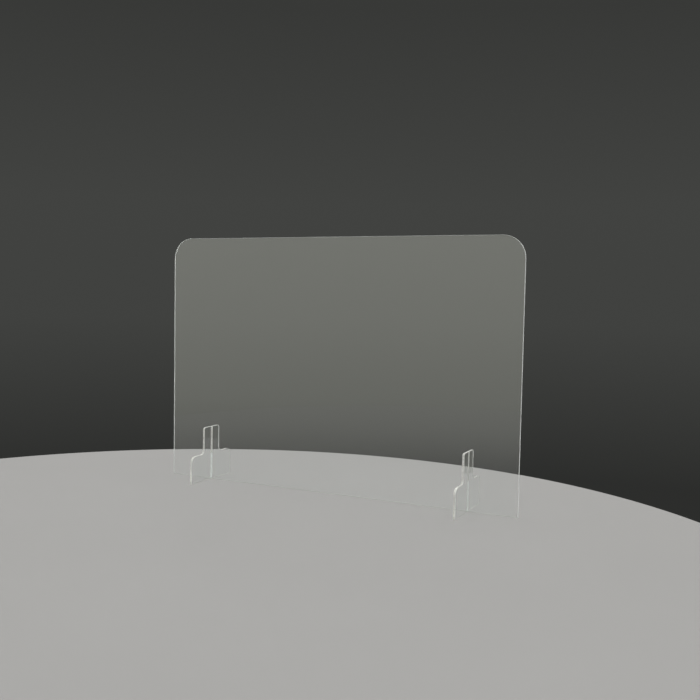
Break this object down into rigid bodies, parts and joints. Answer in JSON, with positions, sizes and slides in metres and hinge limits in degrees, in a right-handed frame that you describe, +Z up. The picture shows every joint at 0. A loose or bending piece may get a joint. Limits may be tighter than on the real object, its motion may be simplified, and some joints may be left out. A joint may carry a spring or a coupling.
{
  "type": "desk privacy panel",
  "caption": "Clear upright screen with rounded top corners, held on a desk by slotted clear feet that cross its lower edge; the screen lifts straight out of the feet.",
  "frame": {"origin": "middle of the panel's bottom edge, on the desk, which is also the bottom centre of the whole object's box", "axes": "+X along the panel to the right as seen from its front, +Y through the panel to its rear, +Z up"},
  "size_m": [0.9, 0.17, 0.6],
  "materials": {
    "panel_acrylic": "polished",
    "foot_acrylic": "polished"
  },
  "bodies": {
    "left_foot": {"left_foot": "foot_acrylic"},
    "panel": {"panel": "panel_acrylic"},
    "right_foot": {"right_foot": "foot_acrylic"}
  },
  "joints": [
    {"name": "panel_lift", "type": "slide", "parent": "left_foot", "child": "panel", "axis": [0, 0, 1], "range_m": [0, 0.14]},
    {"name": "right_foot_release", "type": "slide", "parent": "panel", "child": "right_foot", "axis": [0, 0, 1], "range_m": [-0.14, 0]}
  ],
  "couplings": [
    {"joint": "right_foot_release", "follows": "panel_lift", "ratio": -1}
  ]
}
